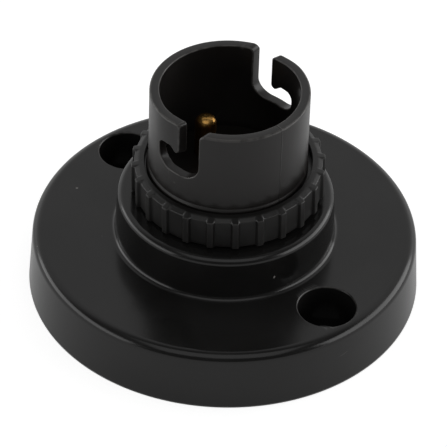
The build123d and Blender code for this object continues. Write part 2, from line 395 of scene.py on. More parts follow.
class NodeDesk:
    """A node tree with short calls for laying down nodes and joining them."""

    def __init__(self, tree: Tree) -> None:
        """Keeps the tree."""
        self.tree = tree

    def add(self, kind: str, settings: dict[str, Any] | None = None, **inputs: Any) -> bpy.types.Node:
        """Adds a node.

        Args:
            kind: The node's type.
            settings: Its properties by name.
            **inputs: Values or sockets for its inputs, by name with underscores for spaces, or in_0, in_1 by place.

        Returns:
            The node.
        """
        node = self.tree.nodes.new(kind)
        for name, value in (settings or {}).items():
            setattr(node, name, value)
        for name, value in inputs.items():
            key = int(name[3:]) if name.startswith("in_") else name.replace("_", " ")
            if isinstance(value, Socket):
                self.join(value, node.inputs[key])
            else:
                node.inputs[key].default_value = value
        return node

    def join(self, source: Socket, target: Socket) -> None:
        """Links an output to an input."""
        self.tree.links.new(source, target)

    def effect(self, group: Tree, place: Socket, **inputs: Any) -> Any:
        """Adds a shared effect at a place and gives its outputs."""
        return self.add("ShaderNodeGroup", {"node_tree": group}, Position=place, **inputs).outputs

    def math(self, operation: str, first: Any, second: Any = 0.0) -> Socket:
        """Adds a math node and gives its output."""
        return self.add("ShaderNodeMath", {"operation": operation}, in_0=first, in_1=second).outputs[0]

    def times(self, first: Any, second: Any) -> Socket:
        """Adds a product and gives its output."""
        return self.math("MULTIPLY", first, second)

    def noise(self, place: Socket, scale: Any, detail: float, **more: Any) -> Socket:
        """Adds a noise of the place and gives its value."""
        return self.add("ShaderNodeTexNoise", Vector=place, Scale=scale, Detail=detail, **more).outputs["Fac"]

    def span(self, value: Any, low: Any, high: Any, to_low: Any, to_high: Any) -> Socket:
        """Adds a smooth map from one span of values to another and gives its output."""
        limits = {"From_Min": low, "From_Max": high, "To_Min": to_low, "To_Max": to_high}
        node = self.add("ShaderNodeMapRange", {"interpolation_type": "SMOOTHSTEP"}, Value=value, **limits)
        return node.outputs["Result"]

    def blend(self, share: Any, first: Any, second: Colour) -> Socket:
        """Adds a mix of a first colour, or what gives one, with a second and gives its output."""
        start = first if isinstance(first, Socket) else (*first, 1.0)
        node = self.add("ShaderNodeMix", {"data_type": "RGBA"}, in_0=share, in_6=start, in_7=(*second, 1.0))
        return node.outputs[2]


def new_group(name: str, inputs: Sequence[str], outputs: Sequence[str]) -> tuple[NodeDesk, Socket, Any, Any]:
    """Starts a shader node group that works on a place.

    Args:
        name: The group's name.
        inputs: Names of its further inputs, all values.
        outputs: Names of its outputs, all values.

    Returns:
        The desk, the place, the outputs of the group's input node and the inputs of its output node.
    """
    tree = bpy.data.node_groups.new(name, "ShaderNodeTree")
    tree.interface.new_socket("Position", in_out="INPUT", socket_type="NodeSocketVector")
    for label in inputs:
        tree.interface.new_socket(label, in_out="INPUT", socket_type="NodeSocketFloat")
    for label in outputs:
        tree.interface.new_socket(label, in_out="OUTPUT", socket_type="NodeSocketFloat")
    desk = NodeDesk(tree)
    given = desk.add("NodeGroupInput").outputs
    return desk, given["Position"], given, desk.add("NodeGroupOutput").inputs


def grain_group() -> Tree:
    """Fine tool texture and the slow flow marks of a moulding, from two noises of the place."""
    desk, place, given, out = new_group("moulded_grain", ("Fine", "Flow"), ("Height", "Tone"))
    flow = desk.noise(place, given["Flow"], detail=4.0, Roughness=0.55, Distortion=0.8)
    desk.join(desk.noise(place, given["Fine"], detail=3.0, Roughness=0.6), out["Height"])
    desk.join(desk.span(flow, *NOISE_SPAN, 0.0, 1.0), out["Tone"])
    return desk.tree


def dust_group(wobble_scale: float = 3000.0, small: float = 0.02, large: float = 0.07) -> Tree:
    """Specks of dust: small spots at the middles of a few cells of a scattered pattern."""
    desk, place, given, out = new_group("dust_specks", ("Cells", "Share"), ("Mask",))
    cells = desk.add("ShaderNodeTexVoronoi", Vector=place, Scale=given["Cells"]).outputs
    chance = desk.add("ShaderNodeSeparateColor", in_0=cells["Color"]).outputs
    chosen = desk.math("LESS_THAN", chance[0], given["Share"])
    wobble = desk.noise(place, wobble_scale, detail=1.0)
    size = desk.times(chance[1], desk.span(wobble, *NOISE_SPAN, small, large))
    spot = desk.math("LESS_THAN", cells["Distance"], size)
    desk.join(desk.times(chosen, spot), out["Mask"])
    return desk.tree


def scratch_group(turn: float = 0.6, stretch: Factors = (140.0, 30.0, 60.0), patch_scale: float = 170.0) -> Tree:
    """Hairline scratches: thin level lines of a stretched noise, kept in a few patches."""
    desk, place, given, out = new_group("hair_scratches", ("Width", "Share"), ("Mask",))
    drawn = desk.add("ShaderNodeMapping", Vector=place, Rotation=(0.0, 0.0, turn), Scale=stretch).outputs[0]
    field = desk.noise(drawn, scale=1.0, detail=1.0, Distortion=0.4)
    level = desk.math("ABSOLUTE", desk.math("SUBTRACT", field, NOISE_MIDDLE))
    line = desk.math("LESS_THAN", level, given["Width"])
    kept = desk.math("LESS_THAN", desk.noise(place, patch_scale, detail=2.0), given["Share"])
    desk.join(desk.times(line, kept), out["Mask"])
    return desk.tree


def wear_and_highlight_group(patch_scale: float = 900.0, patch_span: Limits = (0.3, 0.6), least: float = 0.25) -> Tree:
    """Rubbed edges with a painted highlight on them: the piece's own edge mark, broken up by a noise."""
    desk, place, _, out = new_group("edge_wear_and_highlight", (), ("Mask",))
    edge = desk.add("ShaderNodeAttribute", {"attribute_name": "edge"}).outputs["Fac"]
    broken = desk.span(desk.noise(place, patch_scale, detail=3.0), *patch_span, least, 1.0)
    desk.join(desk.times(edge, broken), out["Mask"])
    return desk.tree


def seam_group() -> Tree:
    """The mould's parting line: a narrow ridge in the half plane through the lamp axis at one angle.

    The place is turned so that the line stands at angle zero. Its distance from the line is then its own Y, and it
    counts only where X is positive.
    """
    desk, place, given, out = new_group("parting_line", ("Angle", "Width"), ("Ridge",))
    about = {"rotation_type": "Z_AXIS"}
    turn = desk.add("ShaderNodeVectorRotate", about, Vector=place, Angle=given["Angle"]).outputs[0]
    parts = desk.add("ShaderNodeSeparateXYZ", Vector=turn).outputs
    line = desk.span(desk.math("ABSOLUTE", parts["Y"]), 0.0, given["Width"], 1.0, 0.0)
    desk.join(desk.times(line, desk.math("GREATER_THAN", parts["X"], 0.0)), out["Ridge"])
    return desk.tree


class Effects:
    """The node groups that the finishes share, each built once."""

    def __init__(self) -> None:
        """Builds the groups."""
        self.grain = grain_group()
        self.dust = dust_group()
        self.scratch = scratch_group()
        self.wear_and_highlight = wear_and_highlight_group()
        self.seam = seam_group()


def new_material(name: str) -> tuple[Material, NodeDesk, Any, Socket]:
    """Starts a material and gives it with its desk, its shader's inputs and the object coordinates."""
    material = bpy.data.materials.new(name)
    material.use_nodes = True
    desk = NodeDesk(material.node_tree)
    shader = material.node_tree.nodes["Principled BSDF"].inputs
    return material, desk, shader, desk.add("ShaderNodeTexCoord").outputs["Object"]


def lay_surface(desk: NodeDesk, shader: Any, colour: Socket, gloss: Socket, height: Socket) -> None:
    """Joins a colour, a roughness and a relief in millimetres to a shader."""
    bump = desk.add("ShaderNodeBump", Strength=1.0, Distance=MM, Height=height)
    desk.join(colour, shader["Base Color"])
    desk.join(gloss, shader["Roughness"])
    desk.join(bump.outputs["Normal"], shader["Normal"])


@dataclass(frozen=True)
class MouldedPlastic:
    """A black moulded plastic with fine grain, flow marks, dust, scratches, a parting line, and rubbed edges with a
    painted highlight.
    """

    name: str
    dark: Colour
    pale: Colour
    worn_and_highlight: Colour
    speck: Colour
    wear_and_highlight: float
    roughness: Limits
    grain_depth: float
    dust_share: float
    refraction: float = 1.46
    scratch_share: float = 0.36
    seam_angle: float = 0.0
    seam_height: float = 0.0
    seam_width: float = 0.16
    fine_scale: float = 2600.0
    flow_scale: float = 70.0
    dust_cells: float = 240.0
    dust_height: float = 0.03
    scratch_width: float = 0.0035
    scratch_tone: float = 0.15
    mark_roughness: float = 0.3

    def material(self, effects: Effects) -> Material:
        """Builds the material.

        Args:
            effects: The shared groups.

        Returns:
            The material, ready to assign.
        """
        material, desk, shader, place = new_material(self.name)
        grain = desk.effect(effects.grain, place, Fine=self.fine_scale, Flow=self.flow_scale)
        dust = desk.effect(effects.dust, place, Cells=self.dust_cells, Share=self.dust_share)["Mask"]
        hair = desk.effect(effects.scratch, place, Width=self.scratch_width, Share=self.scratch_share)["Mask"]
        wear_and_highlight = desk.effect(effects.wear_and_highlight, place)["Mask"]
        turn = -math.radians(self.seam_angle)
        seam = desk.effect(effects.seam, place, Angle=turn, Width=self.seam_width * MM)["Ridge"]
        marks = desk.math("MAXIMUM", dust, desk.times(hair, self.scratch_tone))
        colour = desk.blend(grain["Tone"], self.dark, self.pale)
        # Convex edges are mixed towards a pale grey: partly rubbed wear, partly a painted highlight.
        colour = desk.blend(desk.times(wear_and_highlight, self.wear_and_highlight), colour, self.worn_and_highlight)
        colour = desk.blend(marks, colour, self.speck)
        gloss = desk.span(grain["Tone"], 0.0, 1.0, *self.roughness)
        gloss = desk.math("ADD", gloss, desk.times(marks, self.mark_roughness))
        height = desk.times(grain["Height"], self.grain_depth)
        height = desk.math("ADD", height, desk.times(seam, self.seam_height))
        height = desk.math("ADD", height, desk.times(dust, self.dust_height))
        lay_surface(desk, shader, colour, gloss, height)
        shader["IOR"].default_value = self.refraction
        return material


@dataclass(frozen=True)
class WorkedMetal:
    """Turned, drawn or plated metal with fine tool lines, tarnish, and bright edges that are partly rubbed, partly
    a painted highlight.
    """

    name: str
    bright: Colour
    dull: Colour
    roughness: Limits
    line_scale: Factors
    line_depth: float
    fine_scale: float = 4000.0
    flow_scale: float = 420.0

    def material(self, effects: Effects) -> Material:
        """Builds the material.

        Args:
            effects: The shared groups.

        Returns:
            The material, ready to assign.
        """
        material, desk, shader, place = new_material(self.name)
        grain = desk.effect(effects.grain, place, Fine=self.fine_scale, Flow=self.flow_scale)
        wear_and_highlight = desk.effect(effects.wear_and_highlight, place)["Mask"]
        lines = desk.add("ShaderNodeMapping", Vector=place, Scale=self.line_scale).outputs[0]
        # Edges lose the tarnish and turn bright: partly rubbed metal, partly a painted highlight.
        stain = desk.times(grain["Tone"], desk.math("SUBTRACT", 1.0, wear_and_highlight))
        colour = desk.blend(stain, self.bright, self.dull)
        gloss = desk.span(stain, 0.0, 1.0, *self.roughness)
        drawn = desk.noise(lines, scale=1.0, detail=2.0, Roughness=0.7)
        height = desk.times(drawn, self.line_depth)
        lay_surface(desk, shader, colour, gloss, height)
        shader["Metallic"].default_value = 1.0
        return material


BASE_PLASTIC = MouldedPlastic(
    name="black_base_plastic",
    dark=(0.0074, 0.0072, 0.007),
    pale=(0.0104, 0.0101, 0.0098),
    worn_and_highlight=(0.07, 0.068, 0.065),
    speck=(0.22, 0.21, 0.2),
    wear_and_highlight=0.6,
    roughness=(0.16, 0.21),
    grain_depth=0.0035,
    dust_share=0.6,
    refraction=1.45,
    scratch_share=0.29,
)
BARREL_PLASTIC = MouldedPlastic(
    name="black_barrel_plastic",
    dark=(0.0098, 0.0087, 0.0081),
    pale=(0.0135, 0.0121, 0.0114),
    worn_and_highlight=(0.085, 0.081, 0.077),
    speck=(0.18, 0.17, 0.16),
    wear_and_highlight=0.75,
    roughness=(0.28, 0.36),
    grain_depth=0.004,
    dust_share=0.25,
    seam_angle=-0.7,
    seam_height=0.05,
)
RING_PLASTIC = MouldedPlastic(
    name="black_ring_plastic",
    dark=(0.0064, 0.006, 0.0057),
    pale=(0.0092, 0.0087, 0.0082),
    worn_and_highlight=(0.07, 0.067, 0.063),
    speck=(0.2, 0.19, 0.18),
    wear_and_highlight=0.12,
    roughness=(0.3, 0.4),
    grain_depth=0.006,
    dust_share=0.3,
)
INSULATOR_PLASTIC = MouldedPlastic(
    name="brown_black_insulator",
    dark=(0.0042, 0.003, 0.0022),
    pale=(0.0062, 0.0045, 0.0033),
    worn_and_highlight=(0.06, 0.045, 0.035),
    speck=(0.14, 0.12, 0.1),
    wear_and_highlight=0.4,
    roughness=(0.3, 0.4),
    grain_depth=0.006,
    dust_share=0.1,
)
PLUNGER_BRASS = WorkedMetal(
    name="turned_plunger_brass",
    bright=(0.56, 0.32, 0.092),
    dull=(0.38, 0.19, 0.045),
    roughness=(0.26, 0.38),
    line_scale=(300.0, 300.0, 9000.0),
    line_depth=0.004,
)
TERMINAL_BRASS = WorkedMetal(
    name="drawn_terminal_brass",
    bright=(0.78, 0.52, 0.2),
    dull=(0.5, 0.3, 0.1),
    roughness=(0.26, 0.42),
    line_scale=(5000.0, 5000.0, 300.0),
    line_depth=0.004,
)
SCREW_STEEL = WorkedMetal(
    name="plated_screw_steel",
    bright=(0.66, 0.64, 0.58),
    dull=(0.42, 0.39, 0.33),
    roughness=(0.24, 0.42),
    line_scale=(2500.0, 2500.0, 2500.0),
    line_depth=0.003,
)
SPRING_STEEL = WorkedMetal(
    name="drawn_spring_steel",
    bright=(0.6, 0.6, 0.6),
    dull=(0.33, 0.32, 0.31),
    roughness=(0.2, 0.34),
    line_scale=(3000.0, 3000.0, 3000.0),
    line_depth=0.002,
)


class Paintbox:
    """The holder's materials, each made once from its finish."""

    def __init__(self) -> None:
        """Builds the shared effects and every material."""
        effects = Effects()
        self.base = BASE_PLASTIC.material(effects)
        self.barrel = BARREL_PLASTIC.material(effects)
        self.ring = RING_PLASTIC.material(effects)
        self.insulator = INSULATOR_PLASTIC.material(effects)
        self.plunger = PLUNGER_BRASS.material(effects)
        self.terminal = TERMINAL_BRASS.material(effects)
        self.screw = SCREW_STEEL.material(effects)
        self.spring = SPRING_STEEL.material(effects)


def dress(piece: Piece, material: Material) -> None:
    """Gives a piece one material."""
    piece.data.materials.clear()
    piece.data.materials.append(material)


@dataclass(frozen=True)
class Place:
    """What a piece stands for: its CAD node, the body that it rides on and the slot of its material."""

    node: str
    body: str
    slot: str


def complete(piece: Piece, place: Place, material: Material, crease: float, marked_from: float = 0.0) -> None:
    """Shades, marks and dresses a piece, and gives it its place on the part.

    Args:
        piece: The piece.
        place: What it stands for.
        material: Its material.
        crease: Angle in degrees beyond which an edge stays sharp.
        marked_from: Height over which edges are marked for rubbed wear and a painted highlight, in millimetres.
    """
    shade(piece, crease)
    mark_edges(piece, marked_from)
    dress(piece, material)
    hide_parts(place.node)
    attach(piece, place.body)
    LOG.info("piece %s: %d faces", piece.name, len(piece.data.polygons))


@dataclass
class BaseMoulding:
    """The round dish with its boss, neck, sunk fixing holes and the ribs underneath."""

    foot_radius: float = 32.5
    shoulder_radius: float = 31.8
    height: float = 10.4
    wall: float = 2.2
    edge_round: float = 1.6
    foot_round: float = 0.25
    inside_round: float = 0.5
    boss_radius: float = 18.2
    boss_lean: float = 0.35
    boss_top: float = 18.5
    boss_edge_round: float = 1.15
    boss_foot_round: float = 0.8
    neck_radius: float = 14.2
    neck_bore: float = 12.6
    neck_top: float = 22.2
    neck_round: float = 0.3
    bore_round: float = 0.1
    ledge_radius: float = 10.9
    ledge_top: float = 12.0
    ledge_bottom: float = 10.4
    ledge_round: float = 0.15
    fixing_offset: float = 25.4
    hole_radius: float = 2.4
    hole_bevel: float = 0.3
    recess_radius: float = 4.75
    recess_floor: float = 1.7
    recess_corner: float = 0.1
    recess_mouth_round: float = 0.3
    flare_end: float = 70.0
    flare_points: int = 8
    pillar_radius: float = 6.6
    pillar_pitch: float = 1.1
    rib_angle: float = 40.0
    rib_thickness: float = 1.6
    rib_bottom: float = 2.0
    key_width: float = 2.0
    key_depth: float = 0.7
    key_top: float = 19.2
    key_angles: Limits = (90.0, 270.0)
    edge_cut: float = 0.1
    notch_half: float = 1.5
    notch_bottom: float = 20.4
    notch_cut: float = 0.05
    past: float = 1.0

    def shell(self) -> Skin:
        """The dish, boss and neck as one turned wall with rounded edges."""
        roof = self.height - self.wall
        boss_roof = self.boss_top - self.wall
        boss_bore = self.boss_radius - self.wall
        corners = (
            (self.foot_radius, 0.0, self.foot_round),
            (self.shoulder_radius, self.height, self.edge_round),
            (self.boss_radius, self.height, self.boss_foot_round),
            (self.boss_radius - self.boss_lean, self.boss_top, self.boss_edge_round),
            (self.neck_radius, self.boss_top, self.foot_round),
            (self.neck_radius, self.neck_top, self.neck_round),
            (self.neck_bore, self.neck_top, self.bore_round),
            (self.neck_bore, self.ledge_top, self.bore_round),
            (self.ledge_radius, self.ledge_top, self.ledge_round),
            (self.ledge_radius, self.ledge_bottom, self.ledge_round),
            (self.neck_radius, self.ledge_bottom, self.neck_round),
            (self.neck_radius, boss_roof, self.inside_round),
            (boss_bore, boss_roof, self.inside_round),
            (boss_bore, roof, self.inside_round),
            (self.shoulder_radius - self.wall, roof, self.inside_round),
            (self.foot_radius - self.wall, 0.0, self.foot_round),
        )
        return turned(rounded(corners, steps=8), columns=288)

    def pillar(self) -> Skin:
        """The pillar round a fixing hole.

        Points that would stand outside half the dish's wall are drawn back towards the lamp axis to that line.
        """
        top = self.height - self.wall / 2.0
        corners = np.array(((0.0, 0.0), (self.pillar_radius, 0.0), (self.pillar_radius, top), (0.0, top)))
        pillar = turned(spaced(corners, self.pillar_pitch), columns=96, closed=False)
        pillar = pillar.moved(self.fixing_offset, 0.0, 0.0)
        lean = (self.foot_radius - self.shoulder_radius) / self.height
        limit = self.foot_radius - self.wall / 2.0 - lean * pillar.points[:, 2:]
        reach = np.linalg.norm(pillar.points[:, :2], axis=1, keepdims=True)
        pillar.points[:, :2] *= np.minimum(1.0, limit / reach)
        return pillar

    def fixing_cut(self) -> Skin:
        """The screw hole and its sunk recess, flared in a soft round at the mouth.

        The flare follows a part of a quarter circle, to where it leaves the roof, and runs on straight.
        """
        angle = np.radians(np.linspace(0.0, self.flare_end, self.flare_points))
        flare_radius = self.recess_radius + self.recess_mouth_round * (1.0 - np.cos(angle))
        flare_height = self.recess_mouth_round * (np.sin(angle) - math.sin(angle[-1])) + self.height
        lip_radius = flare_radius[-1] + math.tan(angle[-1]) * self.past
        below = (
            (0.0, -self.past),
            (self.hole_radius, -self.past),
            (self.hole_radius, self.recess_floor - self.hole_bevel),
            (self.hole_radius + self.hole_bevel, self.recess_floor),
            (self.recess_radius - self.recess_corner, self.recess_floor),
            (self.recess_radius, self.recess_floor + self.recess_corner),
        )
        above = ((lip_radius, self.height + self.past), (0.0, self.height + self.past))
        outline = np.concatenate((below, np.stack((flare_radius, flare_height), axis=1), above))
        return turned(outline, columns=128, closed=False).moved(self.fixing_offset, 0.0, 0.0)

    def ribs(self) -> list[Skin]:
        """The stiffening ribs under the roof, from the boss to the outer wall."""
        reach = (self.boss_radius - self.wall, self.shoulder_radius - self.wall / 2.0)
        rise = (self.rib_bottom, self.height - self.wall / 2.0)
        back = HALF_TURN_DEGREES - self.rib_angle
        angles = (self.rib_angle, -self.rib_angle, back, -back)
        return spokes(reach, self.rib_thickness / 2.0, rise, self.edge_cut, angles)

    def keys(self) -> list[Skin]:
        """The keys inside the neck that stop the contact block turning."""
        reach = (self.neck_bore - self.key_depth, (self.neck_bore + self.neck_radius) / 2.0)
        rise = ((self.ledge_top + self.ledge_bottom) / 2.0, self.key_top)
        return spokes(reach, self.key_width / 2.0, rise, self.edge_cut, self.key_angles)

    def notches(self) -> list[Skin]:
        """The notches in the neck's top that take the lugs of the barrel."""
        reach = (self.neck_bore - self.past, self.neck_radius + self.past)
        rise = (self.notch_bottom, self.neck_top + self.past)
        return spokes(reach, self.notch_half, rise, self.notch_cut, (0.0, HALF_TURN_DEGREES))

    def build(self, paint: Paintbox) -> None:
        """Builds the moulding.

        Args:
            paint: The materials.
        """
        piece = piece_of("base_moulding", [self.shell()])
        combine(piece, both_sides(self.pillar()) + self.ribs() + self.keys(), Combine.JOIN)
        combine(piece, both_sides(self.fixing_cut()) + self.notches(), Combine.CUT)
        complete(piece, Place("base", "root", "base_plastic"), paint.base, crease=32.0)


@dataclass
class BayonetBarrel:
    """The bayonet sleeve: a wall with two hooked slots on a flanged foot.

    The wall is drawn as a flat pattern, across and up, and then rolled. Half a turn of the pattern holds one slot.
    """

    bore: float = 11.4
    radius: float = 13.0
    foot_radius: float = 13.18
    flange_radius: float = 14.2
    bottom: float = 22.2
    flange_top: float = 23.7
    flange_round: float = 0.15
    foot_corner: float = 0.1
    step_round: float = 0.4
    foot_top: float = 24.75
    foot_step: float = 0.5
    foot_rise: float = 1.1
    bore_rise: float = 0.7
    rim: float = 39.6
    rim_edge_round: float = 0.35
    rim_edge_depths: Limits = (0.9, 0.2)
    slot_edge_round: float = 0.18
    inner_round: float = 0.2
    edge_points: int = 7
    edge_margin: float = 0.05
    edge_pitch: float = 0.3
    slot_angle: float = -81.7
    slot_reach: float = 8.3
    slot_mouth: float = 3.58
    mouth_round: float = 1.0
    floor_depth: float = 9.55
    floor_round: float = 2.8
    notch_depth: float = 5.0
    notch_width: float = 2.6
    notch_round: float = 1.2
    tongue_drop: float = 0.9
    tongue_flat: float = 1.0
    tongue_round: float = 0.5
    tongue_tip_round: float = 0.8
    tongue_lead: float = 0.6
    tongue_root: float = 0.5
    tongue_bend: float = 0.45
    bend_lead: float = 1.0
    tongue_slant: float = 0.45
    slant_run: float = 2.5
    tongue_draft: float = 0.4
    draft_rise: Limits = (0.2, 2.5)
    draft_run: Limits = (-1.5, 0.5)
    lug_half: float = 1.4
    lug_depth: float = 1.7
    lug_bore: float = 12.7
    lug_pairs: tuple[float, ...] = (-1.03, -1.01455, 1.01455, 1.03)
    lug_limit: float = 1.025
    lug_inset: float = 0.02
    lug_band: float = 0.3
    half_turn: float = 39.6
    square_reach: float = 7.0
    column_count: int = 169
    column_gap: float = 0.15
    grid_pitch: float = 0.7
    grid_clear: float = 0.28
    aside: float = 0.11
    aside_angle: float = 48.0
    aside_rise: Limits = (23.3, 24.5)

    @property
    def ends(self) -> Limits:
        """The pattern's two ends across, half a slot's share outside the slots' middles."""
        return -self.half_turn / 2.0, self.half_turn * 1.5

    @property
    def slot_floor(self) -> float:
        """Height of the slots' floor."""
        return self.rim - self.floor_depth

    @property
    def notch_roof(self) -> float:
        """Height of the top of the slots' notch."""
        return self.rim - self.notch_depth

    @property
    def tongue_tip(self) -> float:
        """Height of the tongues' lower end."""
        return self.notch_roof - self.tongue_drop

    @property
    def lugs(self) -> np.ndarray:
        """Middles of the two lugs across the pattern."""
        return (np.array((0.0, math.pi)) - math.radians(self.slot_angle)) / math.pi * self.half_turn

    def roll(self, across: np.ndarray, radius: np.ndarray, height: np.ndarray) -> np.ndarray:
        """Rolls the flat pattern round the lamp axis.

        Near a slot's middle the angle is the arc sine of the distance across over the radius, so a slot's walls
        stay parallel through the thickness. Between the slots the rest of the turn is shared out evenly. Each
        tongue leans in towards its end: the bend times a smooth share along it, above the slot's floor. Its end
        face and its underside are slanted, so that the slot widens outwards: a share through the wall draws the
        end back outside and lets the underside down inside. Above the flange the whole wall stands a little
        aside, because the sleeve is loose in its ring.

        Args:
            across: Distance across the pattern from the first slot's middle.
            radius: Radius of each point.
            height: Height of each point.

        Returns:
            Points in space.
        """
        slot = np.floor(across / self.half_turn + 0.5)
        local = across - slot * self.half_turn
        start = -self.slot_reach / 2.0
        end = self.slot_reach / 2.0 - self.slot_mouth
        tongue = local < end + self.slot_mouth / 2.0
        tongue = tongue * smoothstep(height, self.slot_floor + self.tongue_root, self.tongue_tip)
        bent = radius - self.tongue_bend * tongue * smoothstep(local, start - self.bend_lead, end)
        depth = (radius - self.bore) / (self.radius - self.bore)
        over = smoothstep(height - self.notch_roof, *self.draft_rise)
        under = (1.0 - over) * smoothstep(local - start, *self.draft_run)
        height = height - self.tongue_draft * tongue * (1.0 - depth) * under
        local = local - self.tongue_slant * tongue * depth * smoothstep(local, end - self.slant_run, end)
        near = np.clip(local, -self.square_reach, self.square_reach)
        rest = self.half_turn / 2.0 - self.square_reach
        share = (math.pi / 2.0 - np.arcsin(self.square_reach / radius)) / rest
        first = math.radians(self.slot_angle) + slot * math.pi
        angle = first + np.arcsin(near / radius) + (local - near) * share
        aside = self.aside * smoothstep(height, *self.aside_rise)
        return polar(bent, angle, height) + polar(aside, math.radians(self.aside_angle), 0.0)

    def slot_corners(self, middle: float) -> list[Corner]:
        """One hooked slot from left to right: down the tongue, round the notch and floor, up the mouth."""
        right = middle + self.slot_reach / 2.0
        left = middle - self.slot_reach / 2.0
        tongue = right - self.slot_mouth
        return [
            (tongue, self.rim, self.tongue_lead),
            (tongue, self.tongue_tip, self.tongue_tip_round),
            (tongue - self.tongue_flat, self.tongue_tip, self.tongue_round),
            (left + self.notch_width, self.notch_roof, self.tongue_round),
            (left, self.notch_roof, self.notch_round),
            (left, self.slot_floor, self.floor_round),
            (right, self.slot_floor, self.floor_round),
            (right, self.rim, self.mouth_round),
        ]

    def top_edge(self) -> np.ndarray:
        """The wall's whole top edge on the flat pattern: the rim with both slots in it."""
        start, end = ((across, self.rim, 0.0) for across in self.ends)
        corners = [start, *self.slot_corners(0.0), *self.slot_corners(self.half_turn), end]
        return spaced(rounded(corners, steps=12, margin=0.02)[1:-1], self.edge_pitch)

    def columns(self) -> np.ndarray:
        """The pattern's columns across, even but for close pairs at the sides of the lugs."""
        even = np.linspace(*self.ends, self.column_count)
        pairs = (self.lugs[:, None] + np.array(self.lug_pairs) * self.lug_half).reshape(-1)
        apart = np.abs(even[:, None] - pairs[None, :]).min(axis=1) > self.column_gap
        return np.sort(np.concatenate((even[apart], pairs)))

    def outer_rounds(self, edge: np.ndarray) -> np.ndarray:
        """The round of the outer edge at each point: the rim's at the top and a tighter one in the slots."""
        low, high = self.rim_edge_depths
        top = smoothstep(edge[:, 1], self.rim - low, self.rim - high)
        return self.slot_edge_round + (self.rim_edge_round - self.slot_edge_round) * top

    def edge_skin(self, edge: np.ndarray, inward: np.ndarray) -> Skin:
        """The rounded edge that runs along rim and slots.

        A section is carried along the top edge: a quarter round on the outside, the flat of the wall and a quarter
        round on the inside. At angle p of a quarter of round r, the point lies r (1 - cos p) down from the edge and
        r (1 - sin p) in from the face.

        Args:
            edge: The top edge on the pattern.
            inward: Unit direction from the edge into the wall.

        Returns:
            The open skin between the outer and inner faces.
        """
        angle = np.linspace(math.pi / 2.0, 0.0, self.edge_points)
        down = np.concatenate(([1.0], 1.0 - np.cos(angle)))[:, None]
        sunk = np.concatenate(([0.0], 1.0 - np.sin(angle)))[:, None]
        margin = np.concatenate(([self.edge_margin], np.zeros(len(angle))))[:, None]
        outer_round = self.outer_rounds(edge)[None, :]
        inner_round = np.full_like(outer_round, self.inner_round)
        radius = np.concatenate((self.radius - outer_round * sunk, self.bore + inner_round * sunk[::-1]))
        outer_depth = outer_round * down + margin
        inner_depth = (inner_round * down + margin)[::-1]
        depth = np.concatenate((outer_depth, inner_depth))[:, :, None]
        flat = edge[None, :, :] + depth * inward[None, :, :]
        points = self.roll(flat[:, :, 0], radius, flat[:, :, 1])
        return grid_skin(points)

    def face_skin(self, ring: np.ndarray, bottom: float, radius: float) -> Skin:
        """One face of the wall, filled with triangles between the edge and its foot.

        The pattern is bounded by the edge's ring, the two sides of the seam and the foot line. Points of an even
        grid that lie inside it, a little clear of the ring, are joined to it by a constrained triangulation.

        Args:
            ring: The lower border of the rounded edge on the pattern.
            bottom: Height of the foot line.
            radius: Radius of the face.

        Returns:
            The skin of the face.
        """
        columns = self.columns()
        heights = np.arange(bottom, ring[0, 1] - self.edge_pitch, self.grid_pitch)
        foot = np.stack((columns[::-1], np.full(len(columns), bottom)), axis=1)
        rise = np.stack((np.full(len(heights), columns[0]), heights), axis=1)[1:]
        fall = np.stack((np.full(len(heights), columns[-1]), heights), axis=1)[:0:-1]
        border = np.concatenate((ring, fall, foot, rise))[::-1]
        inner = np.stack(np.meshgrid(columns[1:-1], heights[1:]), axis=-1).reshape(-1, 2)
        ahead = np.roll(border, -1, axis=0)
        straddles = (border[None, :, 1] > inner[:, None, 1]) != (ahead[None, :, 1] > inner[:, None, 1])
        climb = np.where(ahead[:, 1] == border[:, 1], 1.0, ahead[:, 1] - border[:, 1])
        meets = border[:, 0] + (inner[:, None, 1] - border[:, 1]) / climb * (ahead[:, 0] - border[:, 0])
        inside = (straddles & (inner[:, None, 0] < meets)).sum(axis=1) % 2 == 1
        clear = np.linalg.norm(inner[:, None, :] - border[None, :, :], axis=2).min(axis=1) > self.grid_clear
        points = np.concatenate((border, inner[inside & clear]))
        border_face = [list(range(len(border)))]
        vertices, _, faces, _, _, _ = delaunay_2d_cdt(points.tolist(), [], border_face, 1, SMALL)
        flat = np.array([tuple(vertex) for vertex in vertices])
        return Skin(self.roll(flat[:, 0], np.full(len(flat), radius), flat[:, 1]), np.array(faces, int))

    def foot_skin(self, inner_bottom: float, outer_bottom: float) -> Skin:
        """The flanged foot under the wall, with the two lugs below the flange.

        A section from the bore round the flange to the outer face is carried across the pattern. Between the
        columns of a lug, the outer part of the underside drops by the lug's depth.

        Args:
            inner_bottom: Height where the bore's face begins.
            outer_bottom: Height where the outer face begins.

        Returns:
            The open skin between the two faces.
        """
        corners = (
            (self.bore, inner_bottom, 0.0),
            (self.bore, self.bottom, self.inner_round),
            (self.lug_bore, self.bottom, 0.0),
            (self.flange_radius, self.bottom, self.flange_round),
            (self.flange_radius, self.flange_top, self.flange_round),
            (self.foot_radius, self.flange_top, self.foot_corner),
            (self.foot_radius, self.foot_top, self.flange_round),
            (self.radius, self.foot_top + self.foot_step, self.step_round),
            (self.radius, outer_bottom, 0.0),
        )
        line = distinct(rounded(corners, steps=5, margin=0.03)[1:-1])
        columns = self.columns()
        near = np.abs(columns[:, None] - self.lugs[None, :]).min(axis=1) < self.lug_half * self.lug_limit
        under = (line[:, 0] > self.lug_bore + self.lug_inset) & (line[:, 1] < self.bottom + self.lug_band)
        height = line[:, 1:] - self.lug_depth * under[:, None] * near[None, :]
        points = self.roll(columns[None, :], line[:, :1], height)
        return grid_skin(points)

